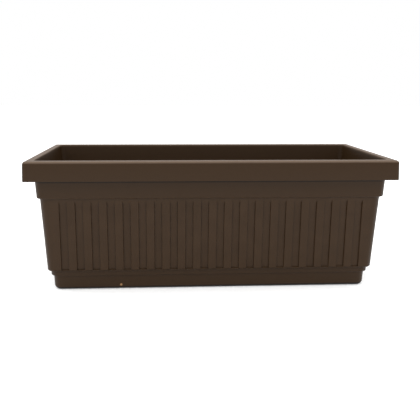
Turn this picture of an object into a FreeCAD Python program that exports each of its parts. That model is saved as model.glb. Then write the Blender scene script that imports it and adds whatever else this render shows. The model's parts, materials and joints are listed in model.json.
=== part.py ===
import FreeCAD, Part
import math
import os
import Sketcher

# Self-watering window-box planter, 27 in class.  Millimetres, +Z up.
# The origin is the middle of the base, on the ground.  -Y is the front, +Y the back.

SIZES = {
    # shell, overall
    "length": 686,
    "width": 292,
    "height": 253,
    "wall": 3,
    "draft_angle": 3.3,
    # rim
    "rim_height": 36.4,
    "rim_flare_angle": 1.3,
    "rim_overhang": 16.2,
    "rim_edge_radius": 5.5,
    "rim_corner_radius": 6,
    # collar, body, ledge and plinth, from the top down
    "collar_height": 35,
    "collar_corner_radius": 14,
    "body_step": 4.3,
    "body_corner_radius": 16,
    "ledge_step": 5.1,
    "ledge_height": 11,
    "ledge_corner_radius": 16,
    "plinth_step": 3.7,
    "plinth_height": 29.1,
    "plinth_draft": 2.2,
    "plinth_corner_radius": 16,
    "plinth_edge_radius": 8,
    # flutes in the body walls
    "front_flutes": 20,
    "end_flutes": 6,
    "flute_margin": 28.5,
    "flute_depth": 2.6,
    "flute_slant": 14,
    "flute_top_gap": 5,
    "flute_bottom_gap": 1.5,
    # drain boss low in the back wall, and the overflow above the ledge
    "drain_radius": 7,
    "drain_clearance": 0.1,
    "drain_level": 15,
    "drain_offset": 230,
    "drain_boss_radius": 12.5,
    "drain_boss_out": 3,
    "drain_boss_in": 6,
    "overflow_level": 54,
    "overflow_radius": 4,
    "press_clearance": 0.05,
    # soil platform
    "deck_level": 62,
    "deck_thickness": 3,
    "deck_skirt": 9,
    "deck_gap": 1.5,
    "deck_corner_radius": 12,
    "leg_radius": 12,
    "leg_taper": 2.5,
    "leg_inset": 30,
    "vent_radius": 3,
    "vent_pitch": 20,
    "vent_row_gap": 14,
    "socket_height": 16,
    "socket_wall": 3,
    "socket_clearance": 0.4,
    # wicking baskets
    "basket_radius": 33,
    "basket_flange": 5,
    "basket_wall": 2,
    "basket_taper": 4,
    "basket_end_gap": 183,
    "basket_slot": 5,
    "basket_slots": 12,
    # fill tube and its hinged cap
    "tube_end_gap": 57,
    "tube_front_gap": 53,
    "tube_radius": 16,
    "tube_wall": 2,
    "tube_top": 222,
    "foot_wall": 2.5,
    "foot_height": 30,
    "foot_shoulder": 15,
    "foot_slot": 4,
    "foot_slots": 8,
    "mouth_radius": 25,
    "mouth_height": 10,
    "mouth_grip": 14,
    "cap_thickness": 3,
    "cap_plug_depth": 3,
    "cap_plug_gap": 0.8,
    "cap_gap": 0.4,
    "cap_tab_width": 14,
    "cap_tab_length": 9,
    "hinge_pin_radius": 1.5,
    "hinge_clearance": 0.06,
    "hinge_offset": 31,
    "hinge_knuckle": 12,
    "hinge_ear": 4,
    # level indicator
    "guide_radius": 13,
    "guide_wall": 2,
    "guide_top": 182,
    "guide_shoulder": 8,
    "guide_foot_height": 24,
    "float_radius": 10.4,
    "float_height": 22,
    "float_rest_gap": 0.4,
    "float_socket": 8,
    "rod_radius": 1.5,
    "tip_radius": 4.5,
    "tip_height": 14,
    "tip_top": 196,
    "tip_socket": 6,
    "sight_radius": 8.5,
    "sight_wall": 2,
    "sight_top": 238,
    "sight_grip": 12,
    # drain plug and gasket
    "plug_head_radius": 11,
    "plug_head": 5,
    "plug_shank": 13,
    "plug_grip": 4,
    "plug_wall": 2,
    "gasket_width": 3,
    "gasket_thickness": 1.6,
    "overflow_bore": 2.6,
    "overflow_flange": 6.2,
    "overflow_nozzle": 5,
    "overflow_plate": 1.5,
}

doc = FreeCAD.newDocument("SelfWateringPlanter")
sheet = doc.addObject("Spreadsheet::Sheet", "Sizes")
for row, (alias, value) in enumerate(SIZES.items(), start=1):
    sheet.set(f"A{row}", alias)
    sheet.set(f"B{row}", str(value))
    sheet.setAlias(f"B{row}", alias)
doc.recompute()

# Levels above the ground, and insets from the rim's outer face, as expressions on the sheet.
TAN = "tan(Sizes.draft_angle * 1 deg)"
TAN_PLINTH = "tan(Sizes.plinth_draft * 1 deg)"
COS = "cos(Sizes.draft_angle * 1 deg)"
RIM_LEVEL = "(Sizes.height - Sizes.rim_height)"
COLLAR_LEVEL = f"({RIM_LEVEL} - Sizes.collar_height)"
LEDGE_LEVEL = "Sizes.plinth_height"
BODY_LEVEL = "(Sizes.plinth_height + Sizes.ledge_height)"
BODY_HEIGHT = f"({COLLAR_LEVEL} - {BODY_LEVEL})"
COLLAR_INSET = f"(Sizes.rim_overhang + Sizes.collar_height * {TAN})"
BODY_INSET = f"({COLLAR_INSET} + Sizes.body_step + {BODY_HEIGHT} * {TAN})"
LEDGE_INSET = f"({BODY_INSET} + Sizes.ledge_step + Sizes.ledge_height * {TAN_PLINTH})"
PLINTH_INSET = f"({LEDGE_INSET} + Sizes.plinth_step + Sizes.plinth_height * {TAN_PLINTH})"
FLOOR = "Sizes.wall"

# Where the insert's pieces stand.
TUBE_Y = "(Sizes.tube_front_gap + Sizes.tube_radius - Sizes.width / 2)"
TUBE_X = "(Sizes.length / 2 - Sizes.tube_end_gap - Sizes.tube_radius)"
BASKET_X = "(Sizes.length / 2 - Sizes.basket_end_gap)"


# ---------------------------------------------------------------- PartDesign helpers

def value_of(expression):
    return float(sheet.evalExpression(expression))


def origin_plane(body, role):
    for feature in body.Origin.OriginFeatures:
        if feature.Role == role:
            return feature
    raise ValueError(role)


def new_body(label):
    body = doc.addObject("PartDesign::Body", label)
    body.Label = label
    return body


def new_sketch(body, name, role="XY_Plane", level="0", rise=None, tilt=None):
    """A sketch on an origin plane, moved `level` along its normal, `rise` up and tilted about its x."""
    sketch = body.newObject("Sketcher::SketchObject", name)
    sketch.AttachmentSupport = [(origin_plane(body, role), "")]
    sketch.MapMode = "FlatFace"
    if tilt is not None:
        tilted = FreeCAD.Rotation(FreeCAD.Vector(1, 0, 0), 1)
        sketch.AttachmentOffset = FreeCAD.Placement(FreeCAD.Vector(), tilted)
        sketch.setExpression("AttachmentOffset.Rotation.Angle", tilt)
    if rise is not None:
        sketch.setExpression("AttachmentOffset.Base.y", rise)
    sketch.setExpression("AttachmentOffset.Base.z", level)
    return sketch


def dimension(sketch, name, expression, constraint):
    index = sketch.addConstraint(constraint)
    sketch.renameConstraint(index, name)
    sketch.setExpression(f"Constraints.{name}", expression)


def rounded_rectangle(sketch, length, width, radius):
    x = value_of(length) / 2
    y = value_of(width) / 2
    r = value_of(radius)
    point = FreeCAD.Vector
    lines = [
        Part.LineSegment(point(r - x, -y), point(x - r, -y)),
        Part.LineSegment(point(x, r - y), point(x, y - r)),
        Part.LineSegment(point(x - r, y), point(r - x, y)),
        Part.LineSegment(point(-x, y - r), point(-x, r - y)),
    ]
    arcs = []
    for turn, (side_x, side_y) in enumerate(((1, -1), (1, 1), (-1, 1), (-1, -1))):
        centre = point(side_x * (x - r), side_y * (y - r))
        start = math.radians(90 * turn - 90)
        arcs.append(Part.ArcOfCircle(Part.Circle(centre, point(0, 0, 1), r), start, start + math.pi / 2))
    sketch.addGeometry(lines + arcs, False)
    rule = Sketcher.Constraint
    for side in range(4):
        sketch.addConstraint(rule("Vertical" if side % 2 else "Horizontal", side))
        sketch.addConstraint(rule("Tangent", side, 2, 4 + side, 1))
        sketch.addConstraint(rule("Tangent", 4 + side, 2, (side + 1) % 4, 1))
    for corner in range(3):
        sketch.addConstraint(rule("Equal", 4 + corner, 5 + corner))
    sketch.addConstraint(rule("Symmetric", 0, 1, 2, 1, -1, 1))
    dimension(sketch, "length", length, rule("DistanceX", 3, 1, 1, 1, 2 * x))
    dimension(sketch, "width", width, rule("DistanceY", 0, 1, 2, 1, 2 * y))
    dimension(sketch, "radius", radius, rule("Radius", 4, r))


def rectangle(sketch, left, bottom, across, up):
    x, y, w, h = (value_of(expression) for expression in (left, bottom, across, up))
    corners = [FreeCAD.Vector(x, y), FreeCAD.Vector(x + w, y), FreeCAD.Vector(x + w, y + h),
               FreeCAD.Vector(x, y + h)]
    sketch.addGeometry([Part.LineSegment(corners[i], corners[(i + 1) % 4]) for i in range(4)], False)
    rule = Sketcher.Constraint
    for side in range(4):
        sketch.addConstraint(rule("Coincident", side, 2, (side + 1) % 4, 1))
        sketch.addConstraint(rule("Vertical" if side % 2 else "Horizontal", side))
    dimension(sketch, "left", left, rule("DistanceX", -1, 1, 0, 1, x))
    dimension(sketch, "bottom", bottom, rule("DistanceY", -1, 1, 0, 1, y))
    dimension(sketch, "across", across, rule("DistanceX", 0, 1, 0, 2, w))
    dimension(sketch, "up", up, rule("DistanceY", 1, 1, 1, 2, h))


def circles(sketch, places, radius):
    """One circle of the same radius at each (x, y) pair of expressions."""
    rule = Sketcher.Constraint
    for index, (x, y) in enumerate(places):
        centre = FreeCAD.Vector(value_of(x), value_of(y))
        sketch.addGeometry(Part.Circle(centre, FreeCAD.Vector(0, 0, 1), value_of(radius)), False)
        dimension(sketch, f"radius{index}", radius, rule("Radius", index, value_of(radius)))
        dimension(sketch, f"across{index}", x, rule("DistanceX", -1, 1, index, 3, centre.x))
        dimension(sketch, f"up{index}", y, rule("DistanceY", -1, 1, index, 3, centre.y))


def extrude(body, kind, name, sketch, length, taper="0", backwards=False):
    """A Pad or a Pocket; its volume has to change the body, or the direction is wrong."""
    before = body.Shape.Volume if body.Tip else 0
    feature = body.newObject(f"PartDesign::{kind}", name)
    feature.Profile = sketch
    feature.Reversed = backwards
    feature.setExpression("Length", length)
    feature.setExpression("TaperAngle", taper)
    sketch.Visibility = False
    doc.recompute()
    change = feature.Shape.Volume - before
    if abs(change) < 1 or (change > 0) != (kind == "Pad"):
        raise ValueError(f"{name} changed the volume by {change}")
    return feature


def fillet_level(body, name, level, radius):
    """Round the outermost edges that lie in the plane z = level."""
    base = body.Tip
    z = value_of(level)
    flat = [(i, edge.BoundBox) for i, edge in enumerate(base.Shape.Edges, start=1)
            if abs(edge.BoundBox.ZMin - z) < 1e-4 and abs(edge.BoundBox.ZMax - z) < 1e-4]
    feature = body.newObject("PartDesign::Fillet", name)
    feature.Base = (base, [f"Edge{i}" for i, _ in flat])
    feature.setExpression("Radius", radius)
    doc.recompute()
    return feature


def repeat(body, name, originals, sketch, count, span, mirror_role=None):
    """Copies of some features along their sketch's x axis, and again behind a mirror plane."""
    multi = body.newObject("PartDesign::MultiTransform", name)
    multi.Originals = originals
    row = doc.addObject("PartDesign::LinearPattern", f"{name}_row")
    body.addObject(row)
    row.Direction = (sketch, ["H_Axis"])
    row.setExpression("Occurrences", count)
    row.setExpression("Length", span)
    steps = [row]
    if mirror_role:
        mirror = doc.addObject("PartDesign::Mirrored", f"{name}_mirror")
        body.addObject(mirror)
        mirror.MirrorPlane = (origin_plane(body, mirror_role), [""])
        steps.append(mirror)
    multi.Transformations = steps
    body.Tip = multi
    doc.recompute()
    return multi


# ---------------------------------------------------------------- Part helpers

def place(feature, at):
    for axis, expression in zip("xyz", at):
        feature.setExpression(f"Placement.Base.{axis}", expression)


def turn(feature, axis, angle):
    feature.Placement = FreeCAD.Placement(feature.Placement.Base, FreeCAD.Rotation(FreeCAD.Vector(*axis), 1))
    feature.setExpression("Placement.Rotation.Angle", angle)


def cylinder(name, radius, height, at=("0", "0", "0")):
    feature = doc.addObject("Part::Cylinder", name)
    feature.setExpression("Radius", radius)
    feature.setExpression("Height", height)
    place(feature, at)
    return feature


def cone(name, low_radius, high_radius, height, at=("0", "0", "0")):
    feature = doc.addObject("Part::Cone", name)
    feature.setExpression("Radius1", low_radius)
    feature.setExpression("Radius2", high_radius)
    feature.setExpression("Height", height)
    place(feature, at)
    return feature


def box(name, size, at=("0", "0", "0")):
    """A box centred on `at` in x and y, standing on it in z."""
    feature = doc.addObject("Part::Box", name)
    for side, expression in zip(("Length", "Width", "Height"), size):
        feature.setExpression(side, expression)
    centred = (f"{at[0]} - ({size[0]}) / 2", f"{at[1]} - ({size[1]}) / 2", at[2])
    place(feature, centred)
    return feature


def fuse(name, *features):
    result = doc.addObject("Part::MultiFuse", name)
    result.Shapes = list(features)
    result.Refine = True
    return result


def cut(name, base, *tools):
    result = doc.addObject("Part::Cut", name)
    result.Base = base
    result.Tool = tools[0] if len(tools) == 1 else fuse(f"{name}_tools", *tools)
    return result


def slots_round(name, count, slot_width, reach, height, level):
    """Radial slot cutters, one box per pair of opposite slots."""
    cutters = []
    pairs = int(value_of(count)) // 2
    for index in range(pairs):
        bar = doc.addObject("Part::Box", f"{name}_bar{index}")
        bar.setExpression("Length", f"2 * ({reach})")
        bar.setExpression("Width", slot_width)
        bar.setExpression("Height", height)
        bar.Placement.Rotation = FreeCAD.Rotation(FreeCAD.Vector(0, 0, 1), 1)
        angle = f"{index} * 360 / ({count})"
        bar.setExpression("Placement.Rotation.Angle", angle)
        along = f"cos({angle} * 1 deg)"
        across = f"sin({angle} * 1 deg)"
        bar.setExpression("Placement.Base.x", f"-({reach}) * {along} + ({slot_width}) / 2 * {across}")
        bar.setExpression("Placement.Base.y", f"-({reach}) * {across} - ({slot_width}) / 2 * {along}")
        bar.setExpression("Placement.Base.z", level)
        cutters.append(bar)
    return cutters


# ---------------------------------------------------------------- shell

def stage(body, name, kind, level, height, inset, radius, taper):
    sketch = new_sketch(body, f"{name}_outline", level=level)
    rounded_rectangle(sketch, f"Sizes.length - 2 * ({inset})", f"Sizes.width - 2 * ({inset})", radius)
    return extrude(body, kind, name, sketch, height, taper, backwards=kind == "Pocket")


def flute_row(body, name, role, half_extent, count, mirror_role):
    """One flute, the bump behind it that keeps the wall's thickness, and their copies.

    The bump stands on the step below the body, so it is not widened downwards."""
    width = f"(2 * {half_extent} - 2 * Sizes.flute_margin) / (2 * {count} - 1)"
    left = f"Sizes.flute_margin - {half_extent}"
    bottom = f"Sizes.flute_bottom_gap / {COS}"
    tall = f"({BODY_HEIGHT} - Sizes.flute_top_gap - Sizes.flute_bottom_gap) / {COS}"
    wider = "Sizes.wall * tan((90 - Sizes.flute_slant) / 2 * 1 deg)"
    face = f"(Sizes.{'length' if role == 'YZ_Plane' else 'width'} / 2 - {BODY_INSET})"
    bump_sketch = new_sketch(body, f"{name}_bump_outline", role, level=f"{face} - Sizes.wall / {COS}",
                             rise=BODY_LEVEL, tilt="Sizes.draft_angle")
    rectangle(bump_sketch, f"{left} - {wider}", bottom, f"{width} + 2 * {wider}", f"{tall} + {wider}")
    bump = extrude(body, "Pad", f"{name}_bump", bump_sketch, "Sizes.flute_depth",
                   "-Sizes.flute_slant", backwards=True)
    flute_sketch = new_sketch(body, f"{name}_outline", role, level=face,
                              rise=BODY_LEVEL, tilt="Sizes.draft_angle")
    rectangle(flute_sketch, left, bottom, width, tall)
    flute = extrude(body, "Pocket", f"{name}_cut", flute_sketch, "Sizes.flute_depth", "-Sizes.flute_slant")
    repeat(body, name, [bump, flute], flute_sketch, count, f"({count} - 1) * 2 * {width}", mirror_role)


def planter_shell():
    body = new_body("planter_shell")
    # The rim starts as a cap, hollow underneath, and the walls are then added down from it.
    stage(body, "rim", "Pad", RIM_LEVEL, "Sizes.rim_height", "0", "Sizes.rim_corner_radius",
          "-Sizes.rim_flare_angle")
    fillet_level(body, "rim_edge", "Sizes.height", "Sizes.rim_edge_radius")
    stage(body, "rim_channel", "Pocket", RIM_LEVEL, "Sizes.rim_height - Sizes.wall", "Sizes.wall",
          "Sizes.rim_corner_radius - Sizes.wall", "-Sizes.rim_flare_angle")
    stages = (
        ("collar", COLLAR_LEVEL, "Sizes.height - Sizes.wall", COLLAR_INSET, "Sizes.collar_corner_radius",
         "Sizes.draft_angle"),
        ("wall_body", BODY_LEVEL, COLLAR_LEVEL, BODY_INSET, "Sizes.body_corner_radius", "Sizes.draft_angle"),
        ("ledge", LEDGE_LEVEL, BODY_LEVEL, LEDGE_INSET, "Sizes.ledge_corner_radius", "Sizes.plinth_draft"),
        ("plinth", "0", LEDGE_LEVEL, PLINTH_INSET, "Sizes.plinth_corner_radius", "Sizes.plinth_draft"),
    )
    for name, low, high, inset, radius, taper in stages:
        stage(body, name, "Pad", low, f"{high} - {low}", inset, radius, taper)
    fillet_level(body, "plinth_edge", "0", "Sizes.plinth_edge_radius")
    # The cavity, from the floor up: each stage reaches a wall's thickness into the wider one above.
    for name, low, high, inset, radius, taper in reversed(stages):
        stage(body, f"{name}_cavity", "Pocket", f"{low} + Sizes.wall", f"{high} - {low} + Sizes.wall",
              f"{inset} + Sizes.wall", f"{radius} - Sizes.wall", taper)
        if name == "plinth":
            fillet_level(body, "floor_edge", FLOOR, "Sizes.plinth_edge_radius - Sizes.wall")
    flute_row(body, "front_flute", "XZ_Plane", f"(Sizes.length / 2 - {BODY_INSET})", "Sizes.front_flutes",
              "XZ_Plane")
    flute_row(body, "end_flute", "YZ_Plane", f"(Sizes.width / 2 - {BODY_INSET})", "Sizes.end_flutes",
              "YZ_Plane")
    # Drain boss and bore, low in the back wall.
    back = f"(Sizes.width / 2 - {PLINTH_INSET})"
    drain_at = [("Sizes.drain_offset", "Sizes.drain_level")]
    boss_length = "Sizes.drain_boss_out + Sizes.wall + Sizes.drain_boss_in"
    boss = new_sketch(body, "drain_boss_outline", "XZ_Plane", level=f"-{back} - Sizes.drain_boss_out")
    circles(boss, drain_at, "Sizes.drain_boss_radius")
    extrude(body, "Pad", "drain_boss", boss, boss_length)
    bore = new_sketch(body, "drain_bore_outline", "XZ_Plane", level=f"-{back} - Sizes.drain_boss_out")
    circles(bore, drain_at, "Sizes.drain_radius + Sizes.drain_clearance")
    extrude(body, "Pocket", "drain_bore", bore, boss_length, backwards=True)
    # Overflow hole, square to the drafted back wall, on the land in the middle.
    hole = new_sketch(body, "overflow_outline", "XZ_Plane", level=f"{BODY_INSET} - Sizes.width / 2",
                      rise=BODY_LEVEL, tilt="-Sizes.draft_angle")
    circles(hole, [("0", f"(Sizes.overflow_level - {BODY_LEVEL}) / {COS}")],
            "Sizes.overflow_radius + Sizes.press_clearance")
    extrude(body, "Pocket", "overflow_hole", hole, "2 * Sizes.wall", backwards=True)
    return body


# ---------------------------------------------------------------- soil platform

def soil_platform():
    body = new_body("soil_platform")
    bottom = "(Sizes.deck_level - Sizes.deck_thickness)"
    skirt_level = f"({bottom} - Sizes.deck_skirt)"
    inset = (f"({BODY_INSET} - ({skirt_level} - {BODY_LEVEL}) * {TAN} + Sizes.wall"
             " + Sizes.flute_depth + Sizes.deck_gap)")
    stage(body, "deck", "Pad", skirt_level, "Sizes.deck_level - " + skirt_level, inset,
          "Sizes.deck_corner_radius", "0")
    stage(body, "deck_hollow", "Pocket", skirt_level, "Sizes.deck_skirt", f"{inset} + Sizes.deck_thickness",
          "Sizes.deck_corner_radius - Sizes.deck_thickness", "0")
    # Sockets that hold the two tubes upright.
    tubes = ((f"-{TUBE_X}", "Sizes.tube_radius"), (TUBE_X, "Sizes.guide_radius"))
    for index, (x, radius) in enumerate(tubes):
        socket = new_sketch(body, f"socket{index}_outline", level=bottom)
        circles(socket, [(x, TUBE_Y)], f"{radius} + Sizes.socket_clearance + Sizes.socket_wall")
        extrude(body, "Pad", f"socket{index}", socket, "Sizes.deck_thickness + Sizes.socket_height")
        bore = new_sketch(body, f"socket{index}_bore_outline", level=bottom)
        circles(bore, [(x, TUBE_Y)], f"{radius} + Sizes.socket_clearance")
        extrude(body, "Pocket", f"socket{index}_bore", bore, "Sizes.deck_thickness + Sizes.socket_height",
                backwards=True)
    # Legs: tapered cups, open at the top, that stand on the shell's floor.
    leg_y = f"(Sizes.width / 2 - {inset} - Sizes.leg_inset)"
    leg_x = (f"{BASKET_X} / 2",
             f"({BASKET_X} + Sizes.basket_radius + Sizes.basket_flange + 2 * Sizes.leg_radius)")
    places = [(f"{side_x} * {x}", f"{side_y} * {leg_y}")
              for x in leg_x for side_x in (-1, 1) for side_y in (-1, 1)]
    legs = new_sketch(body, "leg_outline", level=bottom)
    circles(legs, places, "Sizes.leg_radius")
    extrude(body, "Pad", "legs", legs, f"{bottom} - {FLOOR}", "-Sizes.leg_taper", backwards=True)
    cups = new_sketch(body, "leg_cup_outline", level="Sizes.deck_level")
    circles(cups, places, "Sizes.leg_radius - Sizes.basket_wall")
    extrude(body, "Pocket", "leg_cups", cups, f"Sizes.deck_level - {FLOOR} - Sizes.basket_wall",
            "-Sizes.leg_taper")
    # Seats for the baskets.
    seats = new_sketch(body, "basket_seat_outline", level="Sizes.deck_level")
    circles(seats, [(f"{side} * {BASKET_X}", "0") for side in (-1, 0, 1)],
            "Sizes.basket_radius + Sizes.socket_clearance")
    extrude(body, "Pocket", "basket_seats", seats, "Sizes.deck_thickness")
    # Two rows of vents, either side of the baskets.
    vent_y = "(Sizes.basket_radius + Sizes.basket_flange + Sizes.vent_row_gap)"
    vent_span = f"2 * {TUBE_X}"
    vent = new_sketch(body, "vent_outline", level="Sizes.deck_level")
    circles(vent, [(f"-{TUBE_X}", f"-{vent_y}")], "Sizes.vent_radius")
    vent_cut = extrude(body, "Pocket", "vent", vent, "Sizes.deck_thickness")
    repeat(body, "vents", [vent_cut], vent, f"floor({vent_span} / Sizes.vent_pitch) + 1", vent_span,
           "XZ_Plane")
    return body


# ---------------------------------------------------------------- round insert pieces

def wicking_basket(label, x):
    depth = f"(Sizes.deck_level - {FLOOR} - Sizes.basket_wall)"
    foot_radius = f"(Sizes.basket_radius - ({depth}) * tan(Sizes.basket_taper * 1 deg))"
    cup = cone(f"{label}_cup", foot_radius, "Sizes.basket_radius", depth)
    flange = cylinder(f"{label}_flange", "Sizes.basket_radius + Sizes.basket_flange", "Sizes.basket_wall",
                      ("0", "0", depth))
    hollow = cone(f"{label}_hollow", f"{foot_radius} - Sizes.basket_wall",
                  "Sizes.basket_radius - Sizes.basket_wall", f"{depth} - Sizes.basket_wall",
                  ("0", "0", "Sizes.basket_wall"))
    mouth = cylinder(f"{label}_mouth", "Sizes.basket_radius - Sizes.basket_wall", "2 * Sizes.basket_wall",
                     ("0", "0", depth))
    slots = slots_round(f"{label}_slot", "Sizes.basket_slots", "Sizes.basket_slot",
                        "(Sizes.basket_radius + Sizes.basket_flange)", f"{depth} - 8 * Sizes.basket_wall",
                        "2 * Sizes.basket_wall")
    basket = cut(label, fuse(f"{label}_solid", cup, flange), hollow, mouth, *slots)
    place(basket, (x, "0", f"Sizes.deck_level - {depth}"))
    return basket


def tube(label, radius, thickness, low, high, x):
    outer = cylinder(f"{label}_outer", radius, f"{high} - {low}")
    bore = cylinder(f"{label}_bore", f"{radius} - {thickness}", f"{high} - {low}")
    pipe = cut(label, outer, bore)
    place(pipe, (x, TUBE_Y, low))
    return pipe


def slotted_foot(label, radius, thickness, shoulder, height, x):
    """A cup that stands on the floor: the tube sits on its shoulder, and water enters by its slots."""
    outer_radius = f"({radius} + Sizes.press_clearance + Sizes.foot_wall)"
    outer = cylinder(f"{label}_outer", outer_radius, height)
    well = cylinder(f"{label}_well", f"{radius} - {thickness} - Sizes.foot_wall / 2", shoulder,
                    ("0", "0", "Sizes.basket_wall"))
    grip = cylinder(f"{label}_grip", f"{radius} + Sizes.press_clearance", height, ("0", "0", shoulder))
    slots = slots_round(f"{label}_slot", "Sizes.foot_slots", "Sizes.foot_slot",
                        f"({outer_radius} + Sizes.foot_wall)", f"{shoulder} - 1.5 * Sizes.basket_wall",
                        "Sizes.basket_wall")
    foot = cut(label, outer, well, grip, *slots)
    place(foot, (x, TUBE_Y, FLOOR))
    return foot


MOUTH_LEVEL = "(Sizes.tube_top - Sizes.mouth_grip)"
HINGE_LEVEL_IN_MOUTH = "(Sizes.mouth_grip + Sizes.mouth_height)"


def fill_mouth():
    grip_radius = "(Sizes.tube_radius + Sizes.press_clearance + Sizes.foot_wall)"
    mouth_bore = "(Sizes.mouth_radius - Sizes.tube_wall)"
    grip = cylinder("mouth_grip_outer", grip_radius, "Sizes.mouth_grip")
    flare = cone("mouth_flare", grip_radius, "Sizes.mouth_radius", "Sizes.mouth_height",
                 ("0", "0", "Sizes.mouth_grip"))
    socket = cylinder("mouth_socket", "Sizes.tube_radius + Sizes.press_clearance", "Sizes.mouth_grip")
    throat = cone("mouth_throat", "Sizes.tube_radius - Sizes.tube_wall", mouth_bore, "Sizes.mouth_height",
                  ("0", "0", "Sizes.mouth_grip"))
    level = HINGE_LEVEL_IN_MOUTH
    eye_radius = "(2 * Sizes.hinge_pin_radius)"
    arm_root = f"(Sizes.mouth_radius - {eye_radius})"
    ears = []
    for name, side in (("left", "-1"), ("right", "1")):
        middle = f"{side} * (Sizes.hinge_knuckle + Sizes.hinge_ear + 2 * Sizes.cap_gap) / 2"
        arm = box(f"mouth_arm_{name}",
                  ("Sizes.hinge_ear", f"Sizes.hinge_offset - {arm_root}", eye_radius),
                  (middle, f"(Sizes.hinge_offset + {arm_root}) / 2", f"{level} - {eye_radius}"))
        eye = cylinder(f"mouth_eye_{name}", eye_radius, "Sizes.hinge_ear",
                       (f"{middle} - Sizes.hinge_ear / 2", "Sizes.hinge_offset", level))
        turn(eye, (0, 1, 0), "90")
        ears += [arm, eye]
    bore = cylinder("mouth_ear_bore", "Sizes.hinge_pin_radius + Sizes.hinge_clearance",
                    "Sizes.hinge_knuckle + 4 * Sizes.hinge_ear",
                    ("-Sizes.hinge_knuckle / 2 - 2 * Sizes.hinge_ear", "Sizes.hinge_offset", level))
    turn(bore, (0, 1, 0), "90")
    mouth = cut("fill_mouth", fuse("fill_mouth_solid", grip, flare, *ears), socket, throat, bore)
    place(mouth, (f"-{TUBE_X}", TUBE_Y, MOUTH_LEVEL))
    return mouth


def fill_cap():
    top = HINGE_LEVEL_IN_MOUTH
    underside = f"({top} + Sizes.cap_gap)"
    lid = cylinder("cap_lid", "Sizes.mouth_radius + 1", "Sizes.cap_thickness", ("0", "0", underside))
    throat_radius = "(Sizes.tube_radius - Sizes.tube_wall)"
    plug_share = "(Sizes.mouth_height - Sizes.cap_plug_depth) / Sizes.mouth_height"
    mouth_bore = "(Sizes.mouth_radius - Sizes.tube_wall)"
    plug_radius = (f"({throat_radius} + ({mouth_bore} - {throat_radius}) * {plug_share}"
                   " - Sizes.cap_plug_gap)")
    plug_level = ("0", "0", f"{top} - Sizes.cap_plug_depth")
    plug = cylinder("cap_plug", plug_radius, "Sizes.cap_plug_depth + Sizes.cap_gap", plug_level)
    plug_hollow = cylinder("cap_plug_hollow", f"{plug_radius} - Sizes.tube_wall",
                           "Sizes.cap_plug_depth + Sizes.cap_gap", plug_level)
    tab = box("cap_tab", ("Sizes.cap_tab_width", "Sizes.cap_tab_length", "Sizes.cap_thickness"),
              ("0", "-Sizes.mouth_radius - Sizes.cap_tab_length / 3", underside))
    knuckle_radius = "(2 * Sizes.hinge_pin_radius)"
    knuckle = cylinder("cap_knuckle", knuckle_radius, "Sizes.hinge_knuckle",
                       ("-Sizes.hinge_knuckle / 2", "Sizes.hinge_offset", top))
    turn(knuckle, (0, 1, 0), "90")
    strap_root = "(Sizes.mouth_radius - Sizes.hinge_ear)"
    strap = box("cap_strap", ("Sizes.hinge_knuckle", f"Sizes.hinge_offset - {strap_root}",
                              "Sizes.cap_thickness - Sizes.cap_gap"),
                ("0", f"(Sizes.hinge_offset + {strap_root}) / 2", underside))
    bore = cylinder("cap_bore", "Sizes.hinge_pin_radius + Sizes.hinge_clearance",
                    "Sizes.hinge_knuckle + Sizes.hinge_ear",
                    ("-Sizes.hinge_knuckle / 2 - Sizes.hinge_ear / 2", "Sizes.hinge_offset", top))
    turn(bore, (0, 1, 0), "90")
    cap = cut("fill_cap", fuse("fill_cap_solid", lid, plug, tab, knuckle, strap), plug_hollow, bore)
    place(cap, (f"-{TUBE_X}", TUBE_Y, MOUTH_LEVEL))
    return cap


def fill_cap_pin():
    length = "(Sizes.hinge_knuckle + 2 * Sizes.cap_gap + 2 * Sizes.hinge_ear)"
    pin = cylinder("fill_cap_pin", "Sizes.hinge_pin_radius", length,
                   (f"-{TUBE_X} - {length} / 2", f"{TUBE_Y} + Sizes.hinge_offset",
                    f"{MOUTH_LEVEL} + {HINGE_LEVEL_IN_MOUTH}"))
    turn(pin, (0, 1, 0), "90")
    return pin


# ---------------------------------------------------------------- level indicator

FLOAT_LEVEL = f"({FLOOR} + Sizes.guide_shoulder + Sizes.float_rest_gap)"
FLOAT_TOP = f"({FLOAT_LEVEL} + Sizes.float_height)"
TIP_LEVEL = "(Sizes.tip_top - Sizes.tip_height)"


def indicator_float():
    solid = cylinder("indicator_float_solid", "Sizes.float_radius", "Sizes.float_height")
    socket = cylinder("indicator_float_socket", "Sizes.rod_radius + Sizes.press_clearance",
                      "Sizes.float_socket", ("0", "0", "Sizes.float_height - Sizes.float_socket"))
    piece = cut("indicator_float", solid, socket)
    place(piece, (TUBE_X, TUBE_Y, FLOAT_LEVEL))
    return piece


def indicator_rod():
    low = f"({FLOAT_TOP} - Sizes.float_socket)"
    return cylinder("indicator_rod", "Sizes.rod_radius", f"{TIP_LEVEL} + Sizes.tip_socket - {low}",
                    (TUBE_X, TUBE_Y, low))


def indicator_tip():
    solid = cylinder("indicator_tip_solid", "Sizes.tip_radius", "Sizes.tip_height")
    socket = cylinder("indicator_tip_socket", "Sizes.rod_radius + Sizes.press_clearance", "Sizes.tip_socket")
    piece = cut("indicator_tip", solid, socket)
    place(piece, (TUBE_X, TUBE_Y, TIP_LEVEL))
    return piece


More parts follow.
